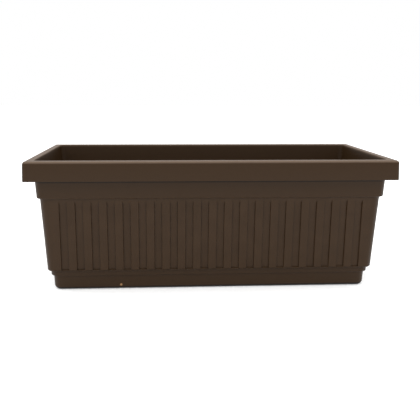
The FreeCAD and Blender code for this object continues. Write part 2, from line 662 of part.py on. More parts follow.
def sight_cap():
    """A clear cap over the guide tube, with a closed sight tube for the tip to rise in."""
    grip_radius = "(Sizes.guide_radius + Sizes.press_clearance + Sizes.sight_wall)"
    base_level = "(Sizes.guide_top - Sizes.sight_grip)"
    skirt = cylinder("sight_skirt", grip_radius, "Sizes.sight_grip + Sizes.sight_wall")
    turret = cylinder("sight_turret", "Sizes.sight_radius", f"Sizes.sight_top - {base_level}")
    socket = cylinder("sight_socket", "Sizes.guide_radius + Sizes.press_clearance", "Sizes.sight_grip")
    bore = cylinder("sight_bore", "Sizes.sight_radius - Sizes.sight_wall",
                    f"Sizes.sight_top - {base_level} - Sizes.sight_wall")
    cap = cut("sight_cap", fuse("sight_cap_solid", skirt, turret), socket, bore)
    place(cap, (TUBE_X, TUBE_Y, base_level))
    return cap


# ---------------------------------------------------------------- drain and overflow

DRAIN_FACE = f"(Sizes.width / 2 - {PLINTH_INSET} + Sizes.drain_boss_out)"


def drain_gasket():
    outer = cylinder("drain_gasket_outer", "Sizes.drain_radius + Sizes.gasket_width",
                     "Sizes.gasket_thickness")
    bore = cylinder("drain_gasket_bore", "Sizes.drain_radius + 2 * Sizes.drain_clearance",
                    "Sizes.gasket_thickness")
    ring = cut("drain_gasket", outer, bore)
    place(ring, ("Sizes.drain_offset", DRAIN_FACE, "Sizes.drain_level"))
    turn(ring, (1, 0, 0), "-90")
    return ring


def drain_plug():
    """Screw plug, built along +Z from under its head and turned to point out of the back."""
    head = cylinder("drain_plug_head", "Sizes.plug_head_radius", "Sizes.plug_head")
    grip = box("drain_plug_grip", ("1.7 * Sizes.plug_head_radius", "Sizes.plug_grip", "Sizes.plug_head"),
               ("0", "0", "Sizes.plug_head"))
    shank = cylinder("drain_plug_shank", "Sizes.drain_radius", "Sizes.plug_shank",
                     ("0", "0", "-Sizes.plug_shank"))
    hollow = cylinder("drain_plug_hollow", "Sizes.drain_radius - Sizes.plug_wall",
                      "Sizes.plug_shank - Sizes.plug_wall",
                      ("0", "0", "-Sizes.plug_shank"))
    plug = cut("drain_plug", fuse("drain_plug_solid", head, grip, shank), hollow)
    place(plug, ("Sizes.drain_offset", f"{DRAIN_FACE} + Sizes.gasket_thickness", "Sizes.drain_level"))
    turn(plug, (1, 0, 0), "-90")
    return plug


def overflow_spout():
    """Push-in spout, built along +Z and turned square to the drafted back wall."""
    through = "(Sizes.wall + Sizes.overflow_plate)"
    shank = cylinder("overflow_shank", "Sizes.overflow_radius", through, ("0", "0", f"-{through}"))
    flange = cylinder("overflow_flange_disc", "Sizes.overflow_flange", "Sizes.overflow_plate")
    outside = "(Sizes.overflow_plate + Sizes.overflow_nozzle)"
    nozzle = cylinder("overflow_nozzle_pipe", "Sizes.overflow_radius", outside)
    bore = cylinder("overflow_spout_bore", "Sizes.overflow_bore", f"{through} + {outside}",
                    ("0", "0", f"-{through}"))
    spout = cut("overflow_spout", fuse("overflow_spout_solid", shank, flange, nozzle), bore)
    rise = f"(Sizes.overflow_level - {BODY_LEVEL})"
    place(spout, ("0", f"Sizes.width / 2 - {BODY_INSET} + {rise} * {TAN}", "Sizes.overflow_level"))
    turn(spout, (1, 0, 0), "-90 - Sizes.draft_angle")
    return spout


# ---------------------------------------------------------------- assembly and export

pieces = [
    planter_shell(),
    soil_platform(),
    wicking_basket("wicking_basket_left", f"-{BASKET_X}"),
    wicking_basket("wicking_basket_middle", "0"),
    wicking_basket("wicking_basket_right", BASKET_X),
    tube("fill_tube", "Sizes.tube_radius", "Sizes.tube_wall", f"({FLOOR} + Sizes.foot_shoulder)",
         "Sizes.tube_top", f"-{TUBE_X}"),
    slotted_foot("fill_tube_foot", "Sizes.tube_radius", "Sizes.tube_wall", "Sizes.foot_shoulder",
                 "Sizes.foot_height", f"-{TUBE_X}"),
    fill_mouth(),
    fill_cap(),
    fill_cap_pin(),
    tube("float_guide_tube", "Sizes.guide_radius", "Sizes.guide_wall", f"({FLOOR} + Sizes.guide_shoulder)",
         "Sizes.guide_top", TUBE_X),
    slotted_foot("float_guide_foot", "Sizes.guide_radius", "Sizes.guide_wall", "Sizes.guide_shoulder",
                 "Sizes.guide_foot_height", TUBE_X),
    sight_cap(),
    indicator_float(),
    indicator_rod(),
    indicator_tip(),
    drain_gasket(),
    drain_plug(),
    overflow_spout(),
]
doc.recompute()

for feature in doc.Objects:
    if "Invalid" in feature.State or "Error" in feature.State:
        raise ValueError(f"{feature.Label} failed: {feature.State}")
for piece in pieces:
    if piece.Shape.isNull() or not piece.Shape.isValid() or len(piece.Shape.Solids) != 1:
        raise ValueError(f"{piece.Label} is not one valid solid")

os.makedirs("parts", exist_ok=True)
for piece in pieces:
    piece.Shape.exportStep(f"parts/{piece.Label}.step")
    extent = piece.Shape.BoundBox
    print(f"{piece.Label}: {piece.Shape.Volume:.0f} mm3, {extent.XLength:.1f} x {extent.YLength:.1f} x "
          f"{extent.ZLength:.1f}, from z {extent.ZMin:.1f}")
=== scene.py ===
import json
import math
import bmesh
import bpy
from mathutils import Matrix, Vector


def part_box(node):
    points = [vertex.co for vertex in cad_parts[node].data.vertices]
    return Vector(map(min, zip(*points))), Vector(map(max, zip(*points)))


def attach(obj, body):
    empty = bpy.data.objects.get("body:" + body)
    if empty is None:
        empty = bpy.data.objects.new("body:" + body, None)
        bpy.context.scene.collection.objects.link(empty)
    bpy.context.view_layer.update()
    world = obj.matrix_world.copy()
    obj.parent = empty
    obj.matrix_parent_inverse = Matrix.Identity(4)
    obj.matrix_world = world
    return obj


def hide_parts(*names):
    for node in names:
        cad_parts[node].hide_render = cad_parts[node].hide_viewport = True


# Self-watering window-box planter.  Metres, +Z up, origin in the middle of the base; -Y is the front.

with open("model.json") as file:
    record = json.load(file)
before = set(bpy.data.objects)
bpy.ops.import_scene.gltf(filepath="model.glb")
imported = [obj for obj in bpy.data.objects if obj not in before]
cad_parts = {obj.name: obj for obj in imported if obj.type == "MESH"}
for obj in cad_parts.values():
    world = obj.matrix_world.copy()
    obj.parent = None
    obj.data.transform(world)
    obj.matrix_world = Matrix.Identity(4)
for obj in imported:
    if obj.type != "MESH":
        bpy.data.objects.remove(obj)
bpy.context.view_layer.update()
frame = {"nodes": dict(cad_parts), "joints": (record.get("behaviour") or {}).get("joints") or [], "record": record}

# ---------------------------------------------------------------- sizes of the shell

shell_low, shell_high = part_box("planter_shell")
LENGTH = shell_high.x - shell_low.x
WIDTH = shell_high.y - shell_low.y
HEIGHT = shell_high.z

WALL = 0.003
DRAFT = math.tan(math.radians(3.3))
PLINTH_DRAFT = math.tan(math.radians(2.2))
FLARE = math.tan(math.radians(1.3))
RIM_LEVEL = HEIGHT - 0.0364
COLLAR_LEVEL = RIM_LEVEL - 0.035
LEDGE_LEVEL = 0.0291
BODY_LEVEL = LEDGE_LEVEL + 0.011
RIM_OVERHANG = 0.0162
BODY_STEP = 0.0043
LEDGE_STEP = 0.0051
PLINTH_STEP = 0.0037
RIM_CORNER = 0.006
COLLAR_CORNER = 0.014
BODY_CORNER = 0.016
RIM_EDGE = 0.0055
PLINTH_EDGE = 0.008
BASE_INSET = 0.012
FRONT_FLUTES = 20
END_FLUTES = 6
FLUTE_MARGIN = 0.0285
FLUTE_DEPTH = 0.0026
FLUTE_SLANT = FLUTE_DEPTH * math.tan(math.radians(14))
BUMP_SPREAD = WALL * math.tan(math.radians(38))
FLUTE_TOP = COLLAR_LEVEL - 0.005
FLUTE_FADE = 0.007
FLUTE_RISE = 0.0015
FLUTE_BOTTOM = BODY_LEVEL + 0.0015
CORNER_TURNS = 9

# How far each stage of the shell stands in from the rim's outer face.
COLLAR_INSET = RIM_OVERHANG + (RIM_LEVEL - COLLAR_LEVEL) * DRAFT
BODY_TOP_INSET = COLLAR_INSET + BODY_STEP
BODY_INSET = BODY_TOP_INSET + (COLLAR_LEVEL - BODY_LEVEL) * DRAFT
LEDGE_TOP_INSET = BODY_INSET + LEDGE_STEP
LEDGE_INSET = LEDGE_TOP_INSET + (BODY_LEVEL - LEDGE_LEVEL) * PLINTH_DRAFT
PLINTH_TOP_INSET = LEDGE_INSET + PLINTH_STEP
PLINTH_INSET = PLINTH_TOP_INSET + LEDGE_LEVEL * PLINTH_DRAFT

# ---------------------------------------------------------------- sizes of the other pieces

BOSS_RADIUS = 0.0125
BOSS_DEPTH = 0.012
BOSS_BORE = 0.0071
SPOUT_HOLE = 0.00405
SPOUT_TILT = 93.3

BASKET_FLANGE = 0.002
BASKET_LIP = 0.005
BASKET_SLOPE = math.tan(math.radians(4))
HOOP_LEVELS = (0.019, 0.034)
DECK_MARGIN = 0.010
RIB_OFFSET = 0.0395
RIB_SPREAD = 0.022
RIB_THICKNESS = 0.0018
RIB_HEIGHT = 0.0024

SEAT = 0.0003
TRIM_HEIGHT = 0.0007
CAP_RING_MARGIN = 0.004
RIDGE_PITCH = 0.0019
RIDGE_HALF_LENGTH = 0.0052
DROP_HALF_LENGTH = 0.007
DROP_HALF_WIDTH = 0.0045

SIGHT_RADIUS = 0.0085
MARK_HALF_HEIGHT = 0.0007
ROD_SOCKET = 0.0016

GASKET_BORE = 0.0072
THREAD_CREST = 0.00695
THREAD_ROOT = 0.0061
THREAD_PITCH = 0.003
PLUG_BORE = 0.005
PLUG_TURNS = 72
THREAD_ROWS = 60

EASED_EDGE = 0.0004
EASED_EDGES = {"soil_platform": 0.0008, "fill_cap": 0.0008, "fill_mouth": 0.0006, "indicator_rod": 0.0003,
               "fill_cap_pin": 0.0003}

# ---------------------------------------------------------------- colours

SHELL_BROWN = (0.0276, 0.0138, 0.0051, 1)
# Tan of the painted highlight along the rim's top.
RIM_HIGHLIGHT_TAN = (0.100, 0.066, 0.043, 1)
LAND_LEVEL = HEIGHT - 0.0045
FLECK_TAN = (0.34, 0.19, 0.09, 1)
FLECK_CENTRE = (-0.1734, -0.1045, 0.0095)
FLECK_RADIUS = 0.0028
WHITE = (1, 1, 1, 1)


# ---------------------------------------------------------------- shader nodes

class Wire:
    """A node's output, with the arithmetic that the finishes use."""

    def __init__(self, socket):
        self.socket = socket

    def combine(self, operation, first, second):
        node = self.socket.id_data.nodes.new("ShaderNodeMath")
        node.operation = operation
        for socket, value in zip(node.inputs, (first, second)):
            join(socket, value)
        return Wire(node.outputs[0])

    def __add__(self, other):
        return self.combine("ADD", self, other)

    def __radd__(self, other):
        return self.combine("ADD", other, self)

    def __sub__(self, other):
        return self.combine("SUBTRACT", self, other)

    def __rsub__(self, other):
        return self.combine("SUBTRACT", other, self)

    def __mul__(self, other):
        return self.combine("MULTIPLY", self, other)

    def __rmul__(self, other):
        return self.combine("MULTIPLY", other, self)


def join(socket, value):
    if isinstance(value, Wire):
        socket.id_data.links.new(value.socket, socket)
    else:
        socket.default_value = value


class Graph:
    """The nodes of one material, or of the world."""

    def __init__(self, tree):
        self.nodes = tree.nodes

    def node(self, kind, settings=None, sockets=None, output=0):
        """Any node: its settings are set first, then its sockets; the named output comes back."""
        made = self.nodes.new(kind)
        for name, value in (settings or {}).items():
            if name == "stops":
                self.set_stops(made.color_ramp.elements, value)
            else:
                setattr(made, name, value)
        for name, value in (sockets or {}).items():
            join(made.inputs[name], value)
        return Wire(made.outputs[output])

    def set_stops(self, elements, stops):
        while len(elements) < len(stops):
            elements.new(1)
        for element, (position, tone) in zip(elements, stops):
            element.position = position
            element.color = (tone, tone, tone, 1)


class Finish(Graph):
    """One procedural material around a Principled shader."""

    def __init__(self, name, **uniform):
        self.material = bpy.data.materials.new(name)
        self.material.use_nodes = True
        super().__init__(self.material.node_tree)
        self.shader = self.nodes["Principled BSDF"]
        for socket, value in uniform.items():
            self.shader.inputs[socket.replace("_", " ")].default_value = value
        self.place = self.node("ShaderNodeTexCoord", output="Object")

    def noise(self, scale, detail=2.0, roughness=0.5, place=None):
        sockets = {"Vector": place or self.place, "Scale": scale, "Detail": detail, "Roughness": roughness}
        return self.node("ShaderNodeTexNoise", None, sockets)

    def stretched(self, scale):
        return self.node("ShaderNodeVectorMath", {"operation": "MULTIPLY"}, {0: self.place, 1: scale})

    def ramp(self, value, stops):
        return self.node("ShaderNodeValToRGB", {"stops": stops}, {"Fac": value})

    def blend(self, share, first, second):
        settings = {"data_type": "RGBA", "clamp_factor": True}
        return self.node("ShaderNodeMix", settings, {0: share, 6: first, 7: second}, output=2)

    def bump(self, height, depth, under=None):
        sockets = {"Height": height, "Distance": depth, "Strength": 1.0}
        if under is not None:
            sockets["Normal"] = under
        return self.node("ShaderNodeBump", None, sockets)

    def wear(self, start, end):
        """1 on the outer edges of a piece, 0 elsewhere."""
        edge = self.node("ShaderNodeNewGeometry", output="Pointiness")
        return self.ramp(edge, ((start, 0.0), (end, 1.0)))

    def shelter(self, distance):
        """1 in the open, less in corners and grooves narrower than the distance."""
        return self.node("ShaderNodeAmbientOcclusion", {"samples": 8}, {"Distance": distance}, "AO")

    def feed(self, **sockets):
        for socket, value in sockets.items():
            join(self.shader.inputs[socket.replace("_", " ")], value)
        return self.material


def shade(colour, factor):
    return tuple(channel * factor for channel in colour[:3]) + (1,)


def moulded(name, colour, roughness, mottle=0.12, worn=0.35, scuffs=0.3, crease_shade_share=0.6, extra_colouring=None, **uniform):
    """Moulded plastic: fine spark-eroded grain, faint flow mottling, painted shade in corners and grooves, paler
    rubbed edges, light scuffs.
    """
    finish = Finish(name, **uniform)
    cloud = finish.noise(9.0, 3.0)
    flow = finish.noise(3.0, 2.0, place=finish.stretched((1.0, 1.0, 0.25)))
    speckle = finish.noise(420.0, 2.0, 0.6)
    tone = cloud * 0.5 + flow * 0.3 + speckle * 0.2
    tint = finish.blend(tone, shade(colour, 1 - mottle), shade(colour, 1 + mottle))
    # Painted shade: the base colour darkens in corners and grooves narrower than about 7 mm, from an
    # ambient-occlusion mask.
    crease_shade = finish.ramp(finish.shelter(0.007), ((0.4, 1.0), (0.8, 0.0)))
    tint = finish.blend(crease_shade * crease_shade_share, tint, shade(colour, 0.3))
    rubbed = finish.wear(0.56, 0.72) * finish.ramp(finish.noise(35.0, 3.0), ((0.35, 0.0), (0.7, 1.0)))
    tint = finish.blend(rubbed * worn, tint, shade(colour, 2.1))
    hairline = finish.noise(90.0, 2.0, 0.65, place=finish.stretched((0.08, 0.08, 1.0)))
    scuff = finish.ramp(hairline, ((0.66, 0.0), (0.72, 1.0))) * finish.ramp(cloud, ((0.5, 0.0), (0.65, 1.0)))
    tint = finish.blend(scuff * scuffs, tint, shade(colour, 1.5))
    if extra_colouring:
        tint = extra_colouring(finish, tint, cloud)
    waves = finish.bump(finish.noise(14.0, 1.0), 0.00008)
    leather = finish.bump(finish.noise(520.0, 3.0, 0.55), 0.00008, waves)
    pits = finish.bump(finish.noise(1500.0, 2.0, 0.6), 0.00004, leather)
    gloss = roughness + (speckle - 0.5) * 0.12 + (cloud - 0.5) * 0.10 - rubbed * 0.10
    return finish.feed(Base_Color=tint, Roughness=gloss, Normal=pits)


def shell_painted_light_and_fleck(finish, tint, cloud):
    """A painted highlight on the rim's top, painted shadow lines at the foot and under the rim, and one pale
    fleck.
    """
    level = finish.node("ShaderNodeSeparateXYZ", None, {0: finish.place}, "Z")
    # Painted highlight: the rim turns pale tan towards its top, standing in for the light the rim's top catches.
    rim_top_highlight = finish.ramp((level - LAND_LEVEL) * 200, ((0.0, 0.0), (0.6, 1.0)))
    tint = finish.blend(rim_top_highlight * (0.75 + cloud * 0.3), tint, RIM_HIGHLIGHT_TAN)
    # Painted shadow: the outside goes dark below 4 mm and fades out by 6.7 mm, for the contact shadow at the foot.
    foot_shadow = finish.ramp(level * 150, ((0.6, 1.0), (1.0, 0.0)))
    tint = finish.blend(foot_shadow * 0.9, tint, shade(SHELL_BROWN, 0.12))
    # Painted shadow: a dark band on faces turned outwards just under the rim's lower edge, up to about 5.5 mm
    # below it.
    stops = ((0.04, 0.0), (0.06, 1.0), (0.42, 1.0), (0.6, 0.0))
    below_rim = finish.ramp((RIM_LEVEL + 0.0005 - level) * 100, stops)
    normal = finish.node("ShaderNodeNewGeometry", output="Normal")
    level_normal = finish.node("ShaderNodeVectorMath", {"operation": "MULTIPLY"}, {0: normal, 1: (1, 1, 0)})
    sockets = {0: level_normal, 1: finish.place}
    outward = finish.node("ShaderNodeVectorMath", {"operation": "DOT_PRODUCT"}, sockets, output="Value")
    under_rim_shadow = below_rim * finish.ramp(outward * 10, ((0.0, 0.0), (0.3, 1.0)))
    tint = finish.blend(under_rim_shadow * 0.9, tint, shade(SHELL_BROWN, 0.1))
    sockets = {0: finish.place, 1: FLECK_CENTRE}
    away = finish.node("ShaderNodeVectorMath", {"operation": "DISTANCE"}, sockets, output="Value")
    ragged = away + (finish.noise(900.0, 2.0) - 0.5) * FLECK_RADIUS
    fleck = finish.ramp(ragged * (1 / FLECK_RADIUS), ((0.55, 1.0), (1.0, 0.0)))
    return finish.blend(fleck, tint, FLECK_TAN)


def foam_finish():
    """Closed-cell foam: small rounded cells, slightly yellowed in patches."""
    finish = Finish("float_foam", Specular_IOR_Level=0.3)
    cells = finish.node("ShaderNodeTexVoronoi", None, {"Vector": finish.place, "Scale": 700.0}, "Distance")
    patches = finish.noise(60.0, 3.0)
    tint = finish.blend(patches, (0.72, 0.68, 0.58, 1), (0.84, 0.82, 0.76, 1))
    tint = finish.blend(finish.ramp(cells, ((0.4, 0.0), (0.8, 1.0))) * 0.4, tint, (0.5, 0.46, 0.38, 1))
    rough = 0.75 + patches * 0.15
    return finish.feed(Base_Color=tint, Roughness=rough, Normal=finish.bump(cells, 0.0002))


def rubber_finish():
    """Moulded seal rubber with a bloom of talc."""
    finish = Finish("gasket_rubber", Specular_IOR_Level=0.3)
    bloom = finish.ramp(finish.noise(220.0, 4.0, 0.7), ((0.45, 0.0), (0.75, 1.0)))
    tint = finish.blend(bloom * 0.35, (0.010, 0.010, 0.010, 1), (0.05, 0.05, 0.048, 1))
    return finish.feed(Base_Color=tint, Roughness=0.6 + bloom * 0.2, Normal=finish.bump(bloom, 0.00004))


def steel_finish():
    """Drawn stainless wire: fine lines along the pin."""
    finish = Finish("pin_steel", Metallic=1.0)
    lines = finish.noise(2600.0, 2.0, place=finish.stretched((0.02, 1.0, 1.0)))
    tint = finish.blend(lines, (0.42, 0.42, 0.41, 1), (0.62, 0.62, 0.61, 1))
    return finish.feed(Base_Color=tint, Roughness=0.22 + lines * 0.18, Normal=finish.bump(lines, 0.00001))


def clear_finish():
    """Clear moulded plastic with faint flow lines and water spots."""
    finish = Finish("clear_plastic", Transmission_Weight=1.0, IOR=1.49)
    spots = finish.ramp(finish.noise(160.0, 3.0, 0.6), ((0.55, 0.0), (0.75, 1.0)))
    tint = finish.blend(spots * 0.5, (0.93, 0.96, 0.97, 1), (0.84, 0.87, 0.87, 1))
    flow = finish.noise(70.0, 1.0, place=finish.stretched((1.0, 1.0, 0.2)))
    return finish.feed(Base_Color=tint, Roughness=0.04 + spots * 0.16, Normal=finish.bump(flow, 0.0001))


FINISHES = {
    # The shell's finish paints shade in its creases, a highlight on the rim's top and shadows at the foot and
    # under the rim.
    "shell_plastic": moulded("shell_plastic", SHELL_BROWN, 0.42, mottle=0.06, worn=0.12, crease_shade_share=0.55,
                             extra_colouring=shell_painted_light_and_fleck, Specular_IOR_Level=0.14),
    "platform_plastic": moulded("platform_plastic", (0.012, 0.0115, 0.011, 1), 0.55, mottle=0.2,
                                Specular_IOR_Level=0.3),
    "basket_plastic": moulded("basket_plastic", (0.016, 0.0155, 0.0145, 1), 0.5, mottle=0.2,
                              Specular_IOR_Level=0.3),
    "tube_plastic": moulded("tube_plastic", (0.020, 0.015, 0.012, 1), 0.42, Specular_IOR_Level=0.35),
    "cap_plastic": moulded("cap_plastic", (0.010, 0.009, 0.008, 1), 0.34, Specular_IOR_Level=0.4),
    "rod_plastic": moulded("rod_plastic", (0.62, 0.61, 0.57, 1), 0.35, mottle=0.03, scuffs=0.0, worn=0.0),
    "tip_plastic": moulded("tip_plastic", (0.52, 0.012, 0.008, 1), 0.28, mottle=0.06, worn=0.1),
    "float_foam": foam_finish(),
    "gasket_rubber": rubber_finish(),
    "pin_steel": steel_finish(),
    "clear_plastic": clear_finish(),
}


# ---------------------------------------------------------------- mesh helpers

def soften(piece, width, segments=2, angle=30):
    """Rounds the edges sharper than `angle` and lets flat faces shade flat."""
    bevel = piece.modifiers.new("soft_edges", "BEVEL")
    bevel.width = width
    bevel.segments = segments
    bevel.limit_method = "ANGLE"
    bevel.angle_limit = math.radians(angle)
    bevel.harden_normals = True


def new_object(name, vertices, faces):
    """A mesh object with its faces turned outwards, linked into the scene."""
    mesh = bpy.data.meshes.new(name)
    mesh.from_pydata([tuple(vertex) for vertex in vertices], [], faces)
    work = bmesh.new()
    work.from_mesh(mesh)
    bmesh.ops.recalc_face_normals(work, faces=work.faces)
    work.to_mesh(mesh)
    work.free()
    made = bpy.data.objects.new(name, mesh)
    bpy.context.scene.collection.objects.link(made)
    return made


def add_piece(name, part, slot, body, stands_for=(), soft=0.0):
    piece = new_object(name, *part)
    piece.data.shade_smooth()
    piece.data.materials.append(FINISHES[slot])
    if soft:
        soften(piece, soft)
    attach(piece, body)
    if stands_for:
        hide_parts(*stands_for)
    return piece


def rounded_path(points, closed=False, step=18):
    """A path of (across, up, radius) corners with each radius drawn as an arc."""
    path = []
    count = len(points)
    for index, (x, y, radius) in enumerate(points):
        here = Vector((x, y))
        if radius <= 0 or (not closed and index in (0, count - 1)):
            path.append((x, y))
            continue
        before = (Vector(points[index - 1][:2]) - here).normalized()
        after = (Vector(points[(index + 1) % count][:2]) - here).normalized()
        half = math.acos(max(-1.0, min(1.0, before.dot(after)))) / 2
        reach = radius / math.tan(half)
        centre = here + (before + after).normalized() * (radius / math.sin(half))
        start = here + before * reach - centre
        end = here + after * reach - centre
        sweep = start.angle_signed(end)
        pieces = max(2, math.ceil(abs(math.degrees(sweep)) / step))
        for part in range(pieces + 1):
            spoke = start.copy()
            spoke.rotate(Matrix.Rotation(-sweep * part / pieces, 2))
            path.append(tuple(centre + spoke))
    return path


def lathe(path, axis_at, segments=72, closed=False):
    """Turns a path of (radius, height) about a vertical axis."""
    vertices = []
    rings = []
    for radius, height in path:
        if radius < 1e-7:
            rings.append([len(vertices)])
            vertices.append(Vector((axis_at[0], axis_at[1], height)))
            continue
        rings.append(list(range(len(vertices), len(vertices) + segments)))
        for part in range(segments):
            angle = 2 * math.pi * part / segments
            vertices.append(Vector((axis_at[0] + radius * math.cos(angle),
                                    axis_at[1] + radius * math.sin(angle), height)))
    faces = []
    pairs = list(zip(rings, rings[1:]))
    if closed:
        pairs.append((rings[-1], rings[0]))
    for low, high in pairs:
        for part in range(segments):
            after = (part + 1) % segments
            corners = list(dict.fromkeys([low[part % len(low)], low[after % len(low)],
                                          high[after % len(high)], high[part % len(high)]]))
            if len(corners) > 2:
                faces.append(corners)
    return vertices, faces


def merge(*parts):
    vertices = []
    faces = []
    for more_vertices, more_faces in parts:
        start = len(vertices)
        vertices += list(more_vertices)
        faces += [[start + corner for corner in face] for face in more_faces]
    return vertices, faces


def moved(part, matrix):
    return [matrix @ Vector(vertex) for vertex in part[0]], part[1]


def block(low, high):
    across, along, up = zip(low, high)
    corners = [Vector((x, y, z)) for x in across for y in along for z in up]
    faces = [[0, 1, 3, 2], [4, 6, 7, 5], [0, 4, 5, 1], [2, 3, 7, 6], [0, 2, 6, 4], [1, 5, 7, 3]]
    return corners, faces


def prism(outline, low, high):
    """Stands a closed outline of (x, y) points up from one level to another."""
    count = len(outline)
    vertices = [Vector((x, y, z)) for z in (low, high) for x, y in outline]
    faces = [list(range(count))[::-1], list(range(count, 2 * count))]
    faces += [[step, (step + 1) % count, (step + 1) % count + count, step + count] for step in range(count)]
    return vertices, faces


def bar_section(inner, outer, low, high, radius, square_foot=False):
    """A small rectangle of (across, up, radius) corners to turn about an axis."""
    foot = 0 if square_foot else radius
    corners = [(inner, low, foot), (outer, low, foot), (outer, high, radius), (inner, high, radius)]
    return rounded_path(corners, closed=True)


def middle(node):
    low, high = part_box(node)
    return (low + high) / 2


def out_of_back(node):
    """Turns a part made along +Z so that it points out of the back wall at the node."""
    centre = middle(node)
    return Matrix.Translation((centre.x, 0, centre.z)) @ Matrix.Rotation(math.radians(-90), 4, "X")


# ---------------------------------------------------------------- shell

def flute_strip(half, count):
    return (2 * half - 2 * FLUTE_MARGIN) / (2 * count - 1)


def shell_ring(inset, level, corner, sunk, inner):
    """One closed row of the shell's skin, with stations at every flute edge.

    Gives its points, and which of them lie on a flute's floor."""
    half_x = LENGTH / 2 - inset
    half_y = WIDTH / 2 - inset
    spread = BUMP_SPREAD if inner else 0.0
    points = []
    floors = []
    for side in range(4):
        along, out = (half_x, half_y) if side % 2 == 0 else (half_y, half_x)
        count = END_FLUTES if side % 2 else FRONT_FLUTES
        strip = flute_strip((WIDTH if side % 2 else LENGTH) / 2 - BODY_INSET, count)
        local = [(corner - along, -out, False)]
        for flute in range(count):
            centre = (2 * flute - count + 1) * strip
            edge = strip / 2 + spread
            foot = edge - FLUTE_SLANT
            for station, floor in ((-edge, False), (-foot, True), (foot, True), (edge, False)):
                local.append((centre + station, -out + (sunk if floor else 0), floor))
        for part in range(CORNER_TURNS):
            angle = math.radians(-90 + 90 * part / CORNER_TURNS)
            x, y = along - corner + corner * math.cos(angle), corner - out + corner * math.sin(angle)
            local.append((x, y, False))
        cos, sin = ((1, 0), (0, 1), (-1, 0), (0, -1))[side]
        for x, y, floor in local:
            points.append(Vector((x * cos - y * sin, x * sin + y * cos, level)))
            floors.append(floor and sunk > 0)
    return points, floors


def shell_profile():
    """(inset, level, edge radius, plan corner radius, flute depth) from the base, up the outside,
    over the rim and down the inside; and how many of them are outside."""
    outside = [
        (PLINTH_INSET + BASE_INSET, 0.0, 0, BODY_CORNER - BASE_INSET, 0),
        (PLINTH_INSET, 0.0, PLINTH_EDGE, BODY_CORNER, 0),
        (PLINTH_TOP_INSET, LEDGE_LEVEL, 0.0012, BODY_CORNER, 0),
        (LEDGE_INSET, LEDGE_LEVEL, 0.0016, BODY_CORNER, 0),
        (LEDGE_TOP_INSET, BODY_LEVEL, 0.0014, BODY_CORNER, 0),
        (BODY_INSET, BODY_LEVEL, 0.0022, BODY_CORNER, 0),
        (BODY_INSET - (FLUTE_BOTTOM - BODY_LEVEL) * DRAFT, FLUTE_BOTTOM, 0, BODY_CORNER, 0),
        (BODY_INSET - (FLUTE_BOTTOM + FLUTE_RISE - BODY_LEVEL) * DRAFT, FLUTE_BOTTOM + FLUTE_RISE, 0,
         BODY_CORNER, FLUTE_DEPTH),
        (BODY_TOP_INSET + (COLLAR_LEVEL - FLUTE_TOP + FLUTE_FADE) * DRAFT, FLUTE_TOP - FLUTE_FADE, 0,
         BODY_CORNER, FLUTE_DEPTH),
        (BODY_TOP_INSET + (COLLAR_LEVEL - FLUTE_TOP) * DRAFT, FLUTE_TOP, 0, BODY_CORNER, 0),
        (BODY_TOP_INSET, COLLAR_LEVEL, 0.0015, BODY_CORNER, 0),
        (COLLAR_INSET, COLLAR_LEVEL, 0.0022, COLLAR_CORNER, 0),
        (COLLAR_INSET - (HEIGHT - WALL - COLLAR_LEVEL) * DRAFT, HEIGHT - WALL, 0.0015, COLLAR_CORNER, 0),
        (WALL + (HEIGHT - WALL - RIM_LEVEL) * FLARE, HEIGHT - WALL, 0.0012, RIM_CORNER - WALL, 0),
        (WALL, RIM_LEVEL, 0.0006, RIM_CORNER - WALL, 0),
        (0.0, RIM_LEVEL, 0.0008, RIM_CORNER, 0),
        ((HEIGHT - RIM_LEVEL) * FLARE, HEIGHT, RIM_EDGE, RIM_CORNER, 0),
    ]
    cavity = (WALL + COLLAR_INSET, COLLAR_LEVEL + WALL)
    body_floor = BODY_LEVEL + WALL
    bump_inset = BODY_INSET + WALL
    lowest = body_floor + 0.0006
    inside = [
        (cavity[0] - (HEIGHT - cavity[1]) * DRAFT, HEIGHT, 0.0013, COLLAR_CORNER - WALL, 0),
        (cavity[0], cavity[1], 0.0015, COLLAR_CORNER - WALL, 0),
        (bump_inset - (cavity[1] - body_floor) * DRAFT, cavity[1], 0.0012, BODY_CORNER - WALL, 0),
        (bump_inset - (FLUTE_TOP + BUMP_SPREAD - body_floor) * DRAFT, FLUTE_TOP + BUMP_SPREAD, 0,
         BODY_CORNER - WALL, 0),
        (bump_inset - (FLUTE_TOP + BUMP_SPREAD - FLUTE_SLANT - body_floor) * DRAFT,
         FLUTE_TOP + BUMP_SPREAD - FLUTE_SLANT, 0, BODY_CORNER - WALL, FLUTE_DEPTH),
        (bump_inset - (lowest - body_floor) * DRAFT, lowest, 0, BODY_CORNER - WALL, FLUTE_DEPTH),
        (bump_inset, body_floor, 0, BODY_CORNER - WALL, FLUTE_DEPTH / 2),
        (LEDGE_TOP_INSET + WALL, body_floor, 0.0012, BODY_CORNER - WALL, 0),
        (LEDGE_INSET + WALL, LEDGE_LEVEL + WALL, 0.0012, BODY_CORNER - WALL, 0),
        (PLINTH_TOP_INSET + WALL, LEDGE_LEVEL + WALL, 0.0012, BODY_CORNER - WALL, 0),
        (PLINTH_INSET + WALL, WALL, PLINTH_EDGE - WALL, BODY_CORNER - WALL, 0),
        (PLINTH_INSET + BASE_INSET, WALL, 0, BODY_CORNER - BASE_INSET, 0),
    ]
    return outside + inside, len(outside)


def shell_rows():
    profile, outside = shell_profile()
    rows = []
    for index, (inset, level, radius, corner, sunk) in enumerate(profile):
        inner = index >= outside
        if radius <= 0 or index in (0, len(profile) - 1):
            rows.append(shell_ring(inset, level, corner, sunk, inner))
            continue
        near = [(*profile[index + step][:2], 0) for step in (-1, 0, 1)]
        near[1] = (inset, level, radius)
        for across, up in rounded_path(near, step=15)[1:-1]:
            rows.append(shell_ring(across, up, max(0.0004, corner - (across - inset)), sunk, inner))
    return rows


